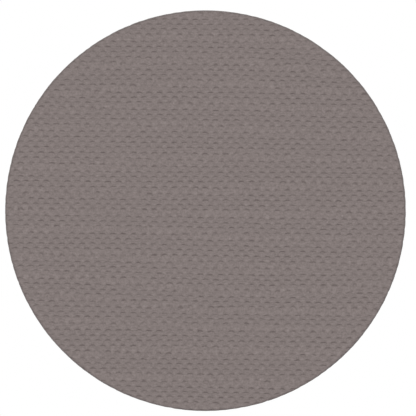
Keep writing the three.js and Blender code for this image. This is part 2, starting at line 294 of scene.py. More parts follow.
def outline(quads):
    """The grid's outer edge as one loop of point numbers."""
    edges = np.concatenate([quads[:, [0, 1]], quads[:, [1, 2]], quads[:, [2, 3]], quads[:, [3, 0]]])
    key = np.sort(edges, 1)
    _, index, count = np.unique(key, axis=0, return_index=True, return_counts=True)
    after = {int(a): int(b) for a, b in edges[index[count == 1]]}
    first = next(iter(after))
    loop = [first]
    while after[loop[-1]] != first:
        loop.append(after[loop[-1]])
    assert len(loop) == len(after)
    return np.array(loop)


def inside_loop(places, corners):
    """Which of the places lie inside the closed outline through the corners."""
    x, z = places[:, :1], places[:, 1:]
    x0, z0 = corners[:, 0], corners[:, 1]
    x1, z1 = np.roll(x0, -1), np.roll(z0, -1)
    rise = np.where(z1 == z0, 1.0, z1 - z0)
    crossed = ((z0 > z) != (z1 > z)) & (x < x0 + (z - z0) * (x1 - x0) / rise)
    return crossed.sum(1) % 2 == 1


def band_between(points, loop, ring):
    """Triangles that fill the space between two loops of point numbers, loop inside ring."""
    numbers = np.concatenate([loop, ring])
    flat = points[numbers][:, [0, 2]]
    n, m = len(loop), len(ring)
    edges = [(i, (i + 1) % n) for i in range(n)] + [(n + i, n + (i + 1) % m) for i in range(m)]
    _, _, faces, source, _, _ = delaunay_2d_cdt([Vector(p) for p in flat], edges, [], 0, 1e-7)
    source = np.array([k[0] for k in source])
    faces = source[np.array(faces)]
    outside = ~inside_loop(flat[faces].mean(1), flat[:n])
    return [tuple(f) for f in numbers[faces[outside]]]


RIM_SEGMENTS = 600


def face_cloth(material):
    """One sheet: woven front, turn over the hoop, and hem."""
    x, z, u, v, quads = cloth_grid()
    level = 0.62 * BUMP  # the CAD surface lies at this height of the relief
    points = np.stack([x, -(HALF + relief(u, v) - level), z], -1)
    lay = np.stack([u, v, laneness(u, v)], -1)
    turned_by = np.zeros(len(u))  # how far over the rim, along the cloth

    loop = outline(quads)

    # Rings round the rim: the turn over the hoop, then the hem, which is drawn in and puckers a little.
    ring_angle = np.arange(RIM_SEGMENTS) * TAU / RIM_SEGMENTS
    turn = np.linspace(0, math.pi, 12)
    hem = np.linspace(ROLL, HEM_INNER, 9)[1:]
    rings = [(ROLL + HALF * math.sin(t), t, HALF * t) for t in turn]
    rings += [(r, math.pi, HALF * math.pi + ROLL - r) for r in hem]
    pucker = sum(
        0.1 * MM * np.sin(n * ring_angle + p) for n, p in zip((61, 97, 143, 178), rng.uniform(0, TAU, 4))
    )
    ring_rows = []
    for r, t, unrolled in rings:
        flat = ROLL + unrolled
        fx, fz = flat * np.cos(ring_angle), flat * np.sin(ring_angle)
        ru, rv = weave_at(fx, fz)
        h = (relief(ru, rv) - level) * (1 - 0.7 * math.sin(t / 2))
        back = max(0.0, unrolled - HALF * 2) / HEM_RUN
        h = h - 0.25 * MM * (t == math.pi) + pucker * min(1, 2 * back)
        radial = np.full(RIM_SEGMENTS, r) + h * math.sin(t)
        y = -math.cos(t) * (HALF + h)
        ring_rows.append(len(points))
        points = np.concatenate(
            [points, np.stack([radial * np.cos(ring_angle), y, radial * np.sin(ring_angle)], -1)]
        )
        lay = np.concatenate([lay, np.stack([ru, rv, laneness(ru, rv)], -1)])
        turned_by = np.concatenate([turned_by, np.full(RIM_SEGMENTS, unrolled)])

    first = ring_rows[0] + np.arange(RIM_SEGMENTS)
    faces = [tuple(q) for q in quads]
    faces += band_between(points, loop, first)
    faces += grid_faces(len(rings), RIM_SEGMENTS, wrap=True, start=ring_rows[0])
    piece = solid("face_cloth", points + CENTRE, faces, lay, material)
    rim = piece.data.attributes.new("rim", "FLOAT", "POINT")
    rim.data.foreach_set("value", turned_by.astype(np.float32))
    if piece.data.polygons[0].normal.y > 0:
        piece.data.flip_normals()
    return piece


# ---- materials


class Look:
    """A procedural material: a Principled shader and short ways to add nodes."""

    def __init__(self, name, roughness=0.8, metallic=0.0, sheen=0.0):
        self.material = bpy.data.materials.new(name)
        self.material.use_nodes = True
        self.tree = self.material.node_tree
        self.tree.nodes.clear()
        self.shader = self.node("ShaderNodeBsdfPrincipled")
        self.set(Roughness=roughness, Metallic=metallic, Sheen_Weight=sheen)
        out = self.node("ShaderNodeOutputMaterial")
        self.tree.links.new(self.shader.outputs[0], out.inputs[0])

    def node(self, kind, inputs=(), **settings):
        made = self.tree.nodes.new(kind)
        for key, value in settings.items():
            setattr(made, key, value)
        for key, value in dict(inputs).items():
            self.feed(made.inputs[key], value)
        return made

    def feed(self, socket, value):
        if isinstance(value, bpy.types.NodeSocket):
            self.tree.links.new(value, socket)
        else:
            socket.default_value = value

    def set(self, **values):
        for key, value in values.items():
            self.feed(self.shader.inputs[key.replace("_", " ")], value)

    def paint(self, tone, dark, colour, wear, smooth, rough):
        """Colour from a tone, roughness from a wear noise."""
        roughness = self.remap(wear, 0.3, 0.7, smooth, rough)
        self.set(Base_Color=self.mix(tone, dark, colour), Roughness=roughness)

    def lay(self):
        return self.node("ShaderNodeAttribute", attribute_name="lay").outputs["Vector"]

    def split(self, vector):
        return self.node("ShaderNodeSeparateXYZ", {0: vector}).outputs

    def join(self, x=0.0, y=0.0, z=0.0):
        return self.node("ShaderNodeCombineXYZ", {0: x, 1: y, 2: z}).outputs[0]

    def math(self, operation, a, b=0.0):
        return self.node("ShaderNodeMath", {0: a, 1: b}, operation=operation).outputs[0]

    def times(self, a, b):
        return self.math("MULTIPLY", a, b)

    def plus(self, a, b):
        return self.math("ADD", a, b)

    def minus(self, a, b):
        return self.math("SUBTRACT", a, b)

    def over(self, a, b):
        return self.math("DIVIDE", a, b)

    def bell(self, value):
        """exp(-value)"""
        return self.math("EXPONENT", self.times(value, -1.0))

    def wave(self, value):
        return self.math("SINE", value)

    def ripple(self, value, pitch):
        """A sine along value that repeats every pitch."""
        return self.wave(self.times(value, TAU / pitch))

    def scaled(self, vector, x, y=None, z=1.0):
        """vector times (x, y, z), or times x every way when y isn't given."""
        by = (x, x, x) if y is None else (x, y, z)
        return self.node("ShaderNodeVectorMath", {0: vector, 1: by}, operation="MULTIPLY").outputs[0]

    def noise(self, vector, detail, rough=0.55):
        return self.node(
            "ShaderNodeTexNoise", {"Vector": vector, "Scale": 1.0, "Detail": detail, "Roughness": rough}
        ).outputs["Fac"]

    def white(self, vector):
        return self.node("ShaderNodeTexWhiteNoise", {"Vector": vector}).outputs["Value"]

    def remap(self, value, low, high, to_low=0.0, to_high=1.0):
        return self.node(
            "ShaderNodeMapRange",
            {"Value": value, "From Min": low, "From Max": high, "To Min": to_low, "To Max": to_high},
        ).outputs[0]

    def mix(self, factor, a, b):
        made = self.node("ShaderNodeMix", data_type="RGBA")
        self.feed(made.inputs[0], factor)
        self.feed(made.inputs[6], a)
        self.feed(made.inputs[7], b)
        return made.outputs[2]

    def bump(self, height, distance, strength):
        made = self.node("ShaderNodeBump", {"Height": height, "Distance": distance, "Strength": strength})
        self.set(Normal=made.outputs[0])


def grey(value, warm=0.0):
    return (value * (1 + warm), value, value * (1 - warm), 1.0)


CLOTH_DARK = (0.0724, 0.0559, 0.0529, 1)  # the dark end of the tone, reached in the painted shade of the dashes
CLOTH_PALE = (0.2046, 0.1722, 0.1657, 1)  # the pale end of the tone, reached in the painted highlight on the float tops


def face_cloth_look():
    """Coarse taupe cloth. lay holds (column, row, lane) of the weave, so the dashes follow the relief."""
    look = Look("coarse_weave", roughness=0.92, sheen=0.1)
    weave = look.lay()
    u, v, in_lane = look.split(weave)
    row = look.math("ROUND", v)
    t = look.plus(look.minus(u, row), 1.0)
    s = look.minus(look.math("FLOORED_MODULO", t, 2.0), 1.0)
    number = look.math("FLOOR", look.over(t, 2.0))
    own = look.white(look.join(number, row, 3.0))
    other = look.white(look.join(number, row, 8.0))
    line = look.white(look.join(row, 31.0))

    # Dash where one yarn dives under the next, with ends that droop: its dark colour is painted shade in
    # the groove
    ds = look.over(look.plus(s, look.remap(other, 0, 1, -0.09, 0.09)), 0.6)
    ds2 = look.times(ds, ds)
    droop = look.plus(look.times(ds2, 0.14), look.remap(own, 0, 1, -0.06, 0.06))
    offset = look.minus(v, row)
    dv = look.over(look.plus(offset, droop), 0.11)
    dash = look.bell(look.times(dv, dv))
    dash = look.times(dash, look.bell(look.times(ds2, ds2)))
    power = look.times(look.remap(own, 0, 1, 0.6, 1.3), look.remap(line, 0, 1, 0.92, 1.06))
    power = look.times(power, look.remap(in_lane, 0, 1, 1.0, 0.6))
    dash = look.times(dash, power)

    # Painted highlight: the top of each float is paler, as where light from above falls on it
    away = look.over(look.minus(1.0, look.math("ABSOLUTE", s)), 0.4)
    above = look.over(look.minus(offset, 0.15), 0.2)
    painted_highlight = look.bell(look.plus(look.times(away, away), look.times(above, above)))
    highlight_strength = look.white(look.join(look.math("ROUND", u), row, 5.0))
    painted_highlight = look.times(painted_highlight, look.remap(highlight_strength, 0, 1, 0.5, 1.4))

    streaks = look.noise(look.scaled(weave, 1.2, 4.6), 3.0, 0.6)
    fibres = look.noise(look.scaled(weave, 3.0, 3.6), 5.0, 0.7)
    fuzz = look.noise(look.scaled(weave, 16.0, 40.0), 4.0, 0.7)

    # The single yarns, about 0.8 mm apart each way, each crossing a little pillow
    slack = look.noise(look.scaled(weave, 1.1, 1.4), 2.0)
    slack_up = look.noise(look.scaled(weave, 1.3, 1.2, 2.0), 2.0)
    weft = look.plus(look.times(v, 5.0), look.times(slack, 1.2))
    warp = look.plus(look.times(u, 4.5), look.times(slack_up, 0.8))
    crossing = look.times(look.ripple(weft, 1), look.ripple(warp, 1))
    strands = look.remap(look.math("POWER", look.math("ABSOLUTE", crossing), 0.5), 0, 1, -1, 1)
    soil = look.noise(look.scaled(weave, 0.05, 0.05), 2.0)

    # A few neps: tiny pale knots of fibre caught in the yarn
    cell_u, cell_v = look.math("FLOOR", u), look.math("FLOOR", v)
    from_u = look.minus(look.minus(u, cell_u), look.white(look.join(cell_u, cell_v, 11.0)))
    from_v = look.minus(look.minus(v, cell_v), look.white(look.join(cell_u, cell_v, 12.0)))
    apart = look.plus(look.times(from_u, from_u), look.times(from_v, from_v))
    chosen = look.math("GREATER_THAN", look.white(look.join(cell_u, cell_v, 13.0)), 0.9965)
    nep = look.times(chosen, look.math("EXPONENT", look.over(apart, -0.012)))

    tone = look.remap(streaks, 0.25, 0.75, 0.8, 1.2)
    for layer in (
        look.remap(fibres, 0.25, 0.75, -0.28, 0.28),
        look.remap(fuzz, 0.25, 0.75, -0.12, 0.12),
        look.times(strands, 0.12),
        look.remap(soil, 0.3, 0.7, -0.008, 0.008),
        # painted highlight on the float tops
        look.times(painted_highlight, 0.12),
        # painted shade in the dashes
        look.times(dash, -0.42),
        look.times(nep, 0.5),
    ):
        tone = look.plus(tone, layer)
    rim = look.node("ShaderNodeAttribute", attribute_name="rim").outputs["Fac"]
    # Painted shade over the turn of the rim, where the cloth rolls away: the tone is darker there
    darkened = look.times(look.remap(rim, 0.8 * MM, 2.6 * MM), look.remap(rim, 9 * MM, 13 * MM, 1.0, 0.0))
    tone = look.times(tone, look.remap(darkened, 0, 1, 1.0, 0.8))
    paint = look.mix(look.remap(tone, 0.51, 1.54), CLOTH_DARK, CLOTH_PALE)
    look.set(Base_Color=paint, Roughness=look.remap(fibres, 0.3, 0.7, 0.86, 0.97))
    height = look.times(fibres, 0.5)
    for layer, share in ((streaks, 0.4), (strands, 0.35), (fuzz, 0.35), (dash, -0.5)):
        height = look.plus(height, look.times(layer, share))
    look.bump(height, 0.5 * MM, 0.6)
    return look.material


def plain_look(name, colour, dark, pitch, roughness=0.85, relief_height=0.15 * MM, sheen=0.2):
    """A fine plain weave in the lay attribute's own metres."""
    look = Look(name, roughness=roughness, sheen=sheen)
    lay = look.lay()
    x, y, _ = look.split(lay)
    warp = look.ripple(x, pitch)
    weft = look.ripple(y, pitch)
    cross = look.times(warp, weft)
    fuzz = look.noise(look.scaled(lay, 900.0), 3.0)
    wear = look.noise(look.scaled(lay, 14.0), 4.0)
    tone = look.plus(
        look.remap(cross, -1, 1, 0.0, 0.5),
        look.plus(look.remap(fuzz, 0.3, 0.7, 0.0, 0.25), look.remap(wear, 0.3, 0.7, 0.0, 0.25)),
    )
    look.paint(tone, dark, colour, wear, roughness - 0.08, roughness + 0.08)
    look.bump(look.plus(cross, look.times(fuzz, 0.6)), relief_height, 0.6)
    return look.material


def twill_look(name, colour, dark, pitch):
    """Woven tape: fine diagonal ribs."""
    look = Look(name, roughness=0.8, sheen=0.25)
    lay = look.lay()
    x, y, _ = look.split(lay)
    slant = look.ripple(look.plus(x, y), pitch)
    threads = look.ripple(x, pitch * 0.4)
    wear = look.noise(look.scaled(lay, 25.0), 4.0)
    height = look.plus(slant, look.times(threads, 0.35))
    tone = look.plus(look.remap(height, -1.35, 1.35, 0.0, 0.7), look.remap(wear, 0.3, 0.7, 0.0, 0.3))
    look.paint(tone, dark, colour, wear, 0.7, 0.88)
    look.bump(height, 0.2 * MM, 0.7)
    return look.material


def webbing_look(name, colour, dark, rib, pick):
    """Webbing and elastic: ribs along the length, crossed by picks. lay is (along, across)."""
    look = Look(name, roughness=0.7, sheen=0.2)
    lay = look.lay()
    x, y, _ = look.split(lay)
    ribs = look.ripple(y, rib)
    # The picks on one side of a rib are half a turn from those on the other
    side = look.times(look.math("SIGN", ribs), 1.571)
    picks = look.wave(look.plus(look.times(x, TAU / pick), side))
    wear = look.noise(look.scaled(lay, 60.0), 4.0)
    fuzz = look.noise(look.scaled(lay, 500.0, 2500.0, 900.0), 2.0)
    height = look.plus(look.times(ribs, 0.6), look.times(picks, 0.5))
    height = look.plus(height, look.times(fuzz, 0.4))
    tone = look.plus(look.remap(height, -0.9, 1.3, 0.0, 0.7), look.remap(wear, 0.3, 0.7, 0.0, 0.3))
    look.paint(tone, dark, colour, wear, 0.62, 0.82)
    look.bump(height, 0.22 * MM, 0.8)
    return look.material


def thread_look(name, colour, dark):
    look = Look(name, roughness=0.6, sheen=0.1)
    lay = look.lay()
    x, y, _ = look.split(lay)
    twist = look.wave(look.plus(look.times(x, TAU / (0.7 * MM)), y))
    look.set(Base_Color=look.mix(look.remap(twist, -1, 1), dark, colour))
    look.bump(twist, 0.06 * MM, 0.6)
    return look.material


def metal_look(name, colour, darkened, roughness, source="lay"):
    """Plated or bare metal with fine scratches and dull patches."""
    look = Look(name, roughness=roughness, metallic=1.0)
    lay = look.lay() if source == "lay" else look.node("ShaderNodeTexCoord").outputs["Object"]
    scratches = look.noise(look.scaled(lay, 900.0, 5200.0, 900.0), 3.0)
    patches = look.noise(look.scaled(lay, 120.0), 3.0)
    look.set(Base_Color=look.mix(look.remap(patches, 0.35, 0.7), colour, darkened))
    mixed = look.plus(look.times(scratches, 0.5), look.times(patches, 0.5))
    look.set(Roughness=look.remap(mixed, 0.3, 0.7, roughness * 0.6, roughness * 1.6))
    look.bump(scratches, 0.02 * MM, 0.4)
    return look.material


def plastic_look(name, colour, dark):
    look = Look(name, roughness=0.5)
    place = look.node("ShaderNodeTexCoord").outputs["Object"]
    wrinkles = look.noise(look.scaled(place, 300.0), 4.0)
    look.paint(wrinkles, dark, colour, wrinkles, 0.42, 0.62)
    look.bump(wrinkles, 0.1 * MM, 0.5)
    return look.material


LOOKS = {
    "cloth": face_cloth_look(),
    "lining": plain_look("lining_weave", grey(0.044, 0.03), grey(0.015, 0.02), 1.1 * MM),
    "tape": twill_look("hem_tape", grey(0.022), grey(0.008), 1.6 * MM),
    "webbing": webbing_look("webbing", grey(0.028, -0.02), grey(0.009), 2.1 * MM, 1.7 * MM),
    "elastic": webbing_look("elastic", grey(0.033, -0.02), grey(0.011), 1.3 * MM, 0.9 * MM),
    "patch": plain_look("patch_cloth", grey(0.026, -0.01), grey(0.012), 1.5 * MM, relief_height=0.2 * MM),
    "label": plain_look("label_satin", grey(0.70, 0.03), grey(0.56, 0.05), 0.5 * MM, 0.55, 0.05 * MM, 0.05),
    "thread": thread_look("thread", grey(0.075, 0.02), grey(0.03)),
    "nickel": metal_look("nickel", grey(0.62, 0.03), grey(0.48, 0.06), 0.22),
    "steel": metal_look("blued_steel", (0.16, 0.19, 0.24, 1), grey(0.12, 0.04), 0.32),
    "steel_cad": metal_look("blued_steel_splice", (0.16, 0.19, 0.24, 1), grey(0.12, 0.04), 0.32, "object"),
    "nickel_cad": metal_look("nickel_rivets", grey(0.62, 0.03), grey(0.48, 0.06), 0.25, "object"),
    "shrink": plastic_look("shrink_tube", grey(0.012), grey(0.005)),
}


# ---- panel pieces


PUCKERS = ((37, 0.4), (59, 2.1), (83, 4.4))  # how many round the rim, and phase
SWELLS = ((1.0, 0.4, 0.3), (-0.5, 1.0, 1.9))  # direction and phase
# slant, offset and half length
CREASES = [(0.35, 0.05, 0.05), (1.9, -0.07, 0.09), (2.6, 0.11, 0.07), (1.1, -0.13, 0.06), (0.9, 0.02, 0.08)]


def lining_dip(x, z):
    """How far the lining sags in: puckers by the tape, soft creases across, none under the patches."""
    r, angle = np.hypot(x, z), np.arctan2(z, x)
    edge = np.clip((r - 0.74 * RADIUS) / (0.22 * RADIUS), 0, 1) ** 2
    puckers = sum(1 + np.sin(n * angle + p + 9 * r / RADIUS) for n, p in PUCKERS) / 6
    soft = sum(1 + np.sin((x * c + z * d) / 0.03 + p) for c, d, p in SWELLS) / 4
    dip = 0.55 * MM * edge * puckers + 0.3 * MM * soft * (1 - edge)
    for slant, offset, half in CREASES:
        off = x * math.sin(slant) - z * math.cos(slant) - offset
        on = x * math.cos(slant) + z * math.sin(slant)
        fade = np.exp(-(((on - offset) / (2 * half)) ** 2))
        dip = dip + 0.6 * MM * np.exp(-((off / (5 * MM)) ** 2)) * fade
    keep_flat = np.exp(-(((x - 0.03) / 0.085) ** 6)) * np.clip((z - 0.10) / 0.03, 0, 1)
    return dip * (1 - keep_flat)


def lining():
    """Thin cloth drawn over the hoop, creased from being folded away."""
    segments = 420
    radii = np.concatenate([[3 * MM], np.linspace(6 * MM, LINED, 84)])
    angle = np.arange(segments) * TAU / segments
    points, lay = [], []
    for r in radii:
        x, z = r * np.cos(angle), r * np.sin(angle)
        points.append(np.stack([x, LINING_Y - lining_dip(x, z), z], -1))
        lay.append(np.stack([x, z, np.zeros(segments)], -1))
    points, lay = np.concatenate(points), np.concatenate(lay)
    faces = grid_faces(len(radii), segments, wrap=True)
    middle = len(points)
    points = np.vstack([points, [0, LINING_Y - lining_dip(np.zeros(1), np.zeros(1))[0], 0]])
    lay = np.vstack([lay, [0, 0, 0]])
    faces += [(middle, (i + 1) % segments, i) for i in range(segments)]
    piece = solid("back_lining", points + CENTRE, faces, lay, LOOKS["lining"])
    if piece.data.polygons[0].normal.y < 0:
        piece.data.flip_normals()
    return piece


def tape_profile():
    """Cross-section of the hem tape, round its outside: it steps down from the hem to the lining."""
    thick = 0.55 * MM
    low = LINING_Y + 0.25 * MM
    high = TAPE_Y - thick
    stations = np.linspace(TAPE_INNER, TAPE_OUTER, 13)
    climb = np.clip((stations - (HEM_INNER - 2.2 * MM)) / (3.4 * MM), 0, 1)
    under = low + (high - low) * climb * climb * (3 - 2 * climb)
    over = under + thick
    over[0] -= 0.3 * MM
    over[-1] -= 0.3 * MM
    return list(zip(stations, over)) + list(zip(stations[::-1], under[::-1]))


def hem_tape():
    profile = tape_profile()
    segments = 540
    points, lay = ring_points(profile, segments)
    faces = grid_faces(len(profile), segments, wrap=True)
    last = (len(profile) - 1) * segments
    closing = [(last + i, last + (i + 1) % segments, (i + 1) % segments, i) for i in range(segments)]
    return solid("hem_tape", points + CENTRE, faces + closing, lay, LOOKS["tape"])


BAND_THICK = 1.0 * MM


def hoop():
    """The steel band, with its edges rounded."""
    low, high = span(*HOOP_NODES)
    outer = (high[0] - low[0]) / 2
    inner = outer - BAND_THICK
    half = (high[1] - low[1]) / 2
    ease = 0.25 * MM
    profile = [
        (inner, -half + ease), (inner + ease, -half), (outer - ease, -half), (outer, -half + ease),
        (outer, half - ease), (outer - ease, half), (inner + ease, half), (inner, half - ease),
    ]
    # One strip from end to end: its ends meet over the splice plate at the bottom, with a gap between them
    left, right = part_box("hoop_lower_left"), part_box("hoop_lower_right")
    gap = math.asin((right[0][0] - left[1][0]) / 2 / outer)
    stations = 541
    angle = np.linspace(-math.pi / 2 + gap, 1.5 * math.pi - gap, stations)
    points, lay = [], []
    for r, y in profile:
        points.append(np.stack([r * np.cos(angle), np.full(stations, y), r * np.sin(angle)], -1))
        lay.append(np.stack([outer * angle, np.full(stations, y), np.full(stations, r - inner)], -1))
    faces = grid_faces(len(profile), stations)
    last = (len(profile) - 1) * stations
    faces += [(last + i, last + i + 1, i + 1, i) for i in range(stations - 1)]
    ends = np.arange(len(profile)) * stations
    faces += [tuple(ends), tuple(ends[::-1] + stations - 1)]
    return solid("spring_hoop", np.concatenate(points) + CENTRE, faces, np.concatenate(lay), LOOKS["steel"])


def stitches(name, path, normal, pitch=3.6 * MM, length=2.7 * MM, thick=0.3 * MM):
    """A row of stitches along a path of points: short threads, arched, with their ends in the cloth.

    path and normal are arrays of points and of the direction out of the cloth."""
    path, normal = np.asarray(path, float), np.asarray(normal, float)
    gaps = np.linalg.norm(np.diff(path, axis=0), axis=1)
    at = np.concatenate([[0], np.cumsum(gaps)])
    count = max(1, int(round(at[-1] / pitch)))
    pitch = at[-1] / count
    length = min(length, 0.8 * pitch)
    stations = np.linspace(-0.5, 0.5, 7)
    sides = 6
    turn = np.arange(sides) * TAU / sides
    points, faces, lay = [], [], []
    for n in range(count):
        middle = (n + 0.5) * pitch
        where = middle + stations * length
        spine = np.stack([np.interp(where, at, path[:, k]) for k in range(3)], -1)
        up = np.array([np.interp(middle, at, normal[:, k]) for k in range(3)])
        up = up / np.linalg.norm(up)
        ahead = spine[-1] - spine[0]
        ahead = ahead / np.linalg.norm(ahead)
        side = np.cross(ahead, up)
        for k, (t, centre) in enumerate(zip(stations, spine)):
            arch = (1 - (2 * t) ** 2) * thick * 0.9 - thick * 0.5
            girth = thick * max(0.12, 1 - abs(2 * t) ** 4)
            for a in turn:
                points.append(centre + up * (arch + girth * math.sin(a)) + side * girth * math.cos(a))
                lay.append((t * length, a, 0))
        base = n * len(stations) * sides
        for k in range(len(stations) - 1):
            for i in range(sides):
                j = (i + 1) % sides
                a, b = base + k * sides, base + (k + 1) * sides
                faces.append((a + i, a + j, b + j, b + i))
        faces.append(tuple(base + i for i in range(sides))[::-1])
        faces.append(tuple(base + (len(stations) - 1) * sides + i for i in range(sides)))
    return solid(name, points, faces, lay, LOOKS["thread"])


def circle_path(radius, y, count=720):
    angle = np.linspace(0, TAU, count + 1)
    path = np.stack([radius * np.cos(angle), np.full(count + 1, y), radius * np.sin(angle)], -1) + CENTRE
    return path, np.tile([0.0, 1.0, 0.0], (count + 1, 1))


def join_into(first, *others):
    """Joins pieces of one kind into the first."""
    with bpy.context.temp_override(active_object=first, selected_editable_objects=[first, *others]):
        bpy.ops.object.join()
    return first


cloth = across_fold(face_cloth(LOOKS["cloth"]), "face_cloth", *CLOTH_NODES)
backing = across_fold(lining(), "lining", *LINING_NODES)
tape = across_fold(hem_tape(), "tape", *TAPE_NODES)
across_fold(hoop(), "spring_steel", *HOOP_NODES)

inner_row = stitches("hem_stitches", *circle_path(TAPE_INNER + 2.6 * MM, LINING_Y + 0.8 * MM))
outer_row = stitches("hem_stitches_outer", *circle_path(TAPE_OUTER - 2.6 * MM, TAPE_Y))
seam = across_fold(join_into(inner_row, outer_row), "tape")


# ---- patches, straps and label


def rounded_outline(width, height, corner, steps=6):
    """Points round a rounded rectangle about its middle, as (x, z)."""
    points = []
    for cx, cz, first in ((1, 1, 0), (-1, 1, 1), (-1, -1, 2), (1, -1, 3)):
        for k in range(steps + 1):
            a = (first + k / steps) * math.pi / 2
            x = cx * (width / 2 - corner) + corner * math.cos(a)
            points.append((x, cz * (height / 2 - corner) + corner * math.sin(a)))
    return np.array(points)


def pad(name, low, high, corner, material, dent_at, crown=0.25 * MM, rings=9):
    """A flat sewn piece in a CAD box: rounded outline, soft edges, slight crown, seam pressed in."""
    width, height = high[0] - low[0], high[2] - low[2]
    middle = (np.asarray(low) + np.asarray(high)) / 2
    thick = high[1] - low[1]
    rim = rounded_outline(width, height, corner)
    points, lay = [], []
    levels = [(1.0, low[1]), (1.0, low[1] + 0.55 * thick)]
    for k in range(1, rings + 1):
        inset = k / rings
        drop = 0.45 * thick * (1 - min(1.0, inset * width / 2 / (1.2 * MM))) ** 2
        from_seam = (inset * min(width, height) / 2 - dent_at) / (0.9 * MM)
        seam_dip = 0.28 * MM * math.exp(-(from_seam**2))
        levels.append((1 - inset, high[1] - crown + crown * inset - drop - seam_dip))
    half = np.array([width / 2, height / 2])
    short = half.min()
    for share, y in levels[:-1]:
        inset = (1 - share) * short
        for x, z in rim * ((half - inset) / half):
            points.append((middle[0] + x, y, middle[2] + z))
            lay.append((x, z, y))
    count = len(rim)
    faces = grid_faces(len(levels) - 1, count, wrap=True)
    cap = (len(levels) - 2) * count
    faces.append(tuple(cap + i for i in range(count)))
    faces.append(tuple(range(count))[::-1])
    return solid(name, points, faces, lay, material)


def box_path(low, high, y, inset, cross=False):
    """A stitched rectangle, and its diagonals when cross is set."""
    x0, x1, z0, z1 = low[0] + inset, high[0] - inset, low[2] + inset, high[2] - inset
    lines = [[(x0, z0), (x1, z0)], [(x1, z0), (x1, z1)], [(x1, z1), (x0, z1)], [(x0, z1), (x0, z0)]]
    if cross:
        lines += [[(x0, z0), (x1, z1)], [(x1, z0), (x0, z1)]]
    return [[(x, y, z) for x, z in line] for line in lines]


BACKWARDS = [(0, 1, 0), (0, 1, 0)]


def sewn(name, low, high, y, inset, slot, cross=False):
    """Stitches along a box on the upper panel."""
    rows = [
        stitches(f"{name}_{n}", line, BACKWARDS, pitch=2.6 * MM, length=2.0 * MM, thick=0.26 * MM)
        for n, line in enumerate(box_path(low, high, y, inset, cross))
    ]
    piece = join_into(*rows)
    piece.name = name
    return fit(piece, "upper_panel", slot)


def strap(name, x, path, width, thick, material, rib, pick, rounded=0.0, folded=False):
    """A flat strap centred on x that follows a path of (y, z) points: ribs along it and picks across it.

    rounded is the radius of the corners at the path's last end. folded says that its inner sides meet."""
    path = np.asarray(path, float)
    along = np.concatenate([[0], np.cumsum(np.hypot(*np.diff(path, axis=0).T))])
    length = along[-1]
    even = np.linspace(0, length, int(round(length / (0.8 * MM))) + 1)
    even = even[np.abs(even[:, None] - along[1:-1]).min(1, initial=1) > 0.3 * MM]
    rows = np.sort(np.concatenate([even, along[1:-1]]))
    centre = np.stack([np.interp(rows, along, path[:, k]) for k in (0, 1)], -1)
    ahead = np.gradient(centre, axis=0)
    ahead = ahead / np.linalg.norm(ahead, axis=1, keepdims=True)
    across = int(round(width / (rib / 4)))
    s = np.linspace(-0.5, 0.5, across + 1)
    edge = np.sqrt(np.maximum(0, 1 - np.abs(2 * s) ** 14))
    ribs = 0.10 * MM * np.cos(s * width / rib * TAU)
    points, lay = [], []
    for side in (1, -1):
        for d, (y, z), (ay, az) in zip(rows, centre, ahead):
            end = min(1.0, min(d, length - d) / (thick / 2))
            soften = max(0.55, math.sqrt(end * (2 - end)))
            corner = max(0.0, rounded - (length - d))
            narrow = 1 - (rounded - math.sqrt(rounded**2 - corner**2)) * 2 / width
            picks = 0.05 * MM * np.cos(d / pick * TAU + np.where(ribs > 0, math.pi, 0))
            h = (thick / 2 - 0.15 * MM) * np.maximum(0.5, edge) * soften
            if side > 0 or not folded:
                h = h + (ribs + picks) * edge
            points.append(np.stack([x + s * width * narrow, y + side * h * az, z - side * h * ay], -1))
            lay.append(np.stack([np.full(len(s), d), s * width, side * h], -1))
    points, lay = np.concatenate(points), np.concatenate(lay)
    n, m = len(rows), len(s)
    other = n * m
    faces = grid_faces(n, m)
    faces += grid_faces(n, m, start=other, flip=True)
    for i in range(m - 1):
        last = (n - 1) * m + i
        faces.append((i, i + 1, other + i + 1, other + i))
        faces.append((last + 1, last, other + last, other + last + 1))
    for j in range(n - 1):
        for a, b in ((j * m, (j + 1) * m), ((j + 2) * m - 1, (j + 1) * m - 1)):
            faces.append((b, a, other + a, other + b))
    return solid(name, points, faces, lay, material)


def hole_through(piece, radius):
    """Cuts a round hole along Y, about the eyelet's centre."""
    reach = 10 * MM
    rod = [(0, -reach), (radius, -reach), (radius, reach), (0, reach)]
    cutter = turned("punch", rod, 48, (0, 0, 0), None)
    cut = piece.modifiers.new("hole", "BOOLEAN")
    cut.operation, cut.object, cut.solver = "DIFFERENCE", cutter, "EXACT"
    evaluated = piece.evaluated_get(bpy.context.evaluated_depsgraph_get())
    mesh = bpy.data.meshes.new_from_object(evaluated)
    piece.modifiers.clear()
    piece.data = mesh
    bpy.data.objects.remove(cutter)
    return piece


# Hanging tab
tab_low, tab_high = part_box("hang_tab_webbing")
foot_low, foot_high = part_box("tab_foot")
# The webbing is doubled: its middle line runs up, over the top and down
PLY = (tab_high[1] - tab_low[1]) / 2
turn_over = np.linspace(0, math.pi, 9)
over_top = zip(PLY / 2 * np.cos(turn_over), tab_high[2] - PLY + PLY / 2 * np.sin(turn_over))
loop_path = [(PLY / 2, foot_low[2]), *over_top, (-PLY / 2, foot_low[2])]
tab = strap(
    "hang_tab", 0.0, loop_path, tab_high[0] - tab_low[0], PLY - 0.05 * MM, LOOKS["webbing"],
    2.1 * MM, 1.7 * MM, folded=True,
)
TAB_HOLE = 6.2 * MM  # radius; hidden under the eyelet
hole_through(tab, TAB_HOLE)
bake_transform(tab)
stand_for(tab, "webbing", "hang_tab_webbing", "tab_foot")

patch_low, patch_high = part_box("tab_patch")
patch = pad("tab_backing", patch_low, patch_high, 4 * MM, LOOKS["patch"], dent_at=3 * MM)
fit(patch, "upper_panel", "patch", "tab_patch")
patch_seam = sewn("patch_stitches", patch_low, patch_high, patch_high[1] - 0.3 * MM, 3 * MM, "patch")
foot_back = foot_high[1] - 0.1 * MM
tab_seam = sewn("tab_stitches", foot_low, foot_high, foot_back, 3 * MM, "webbing", cross=True)


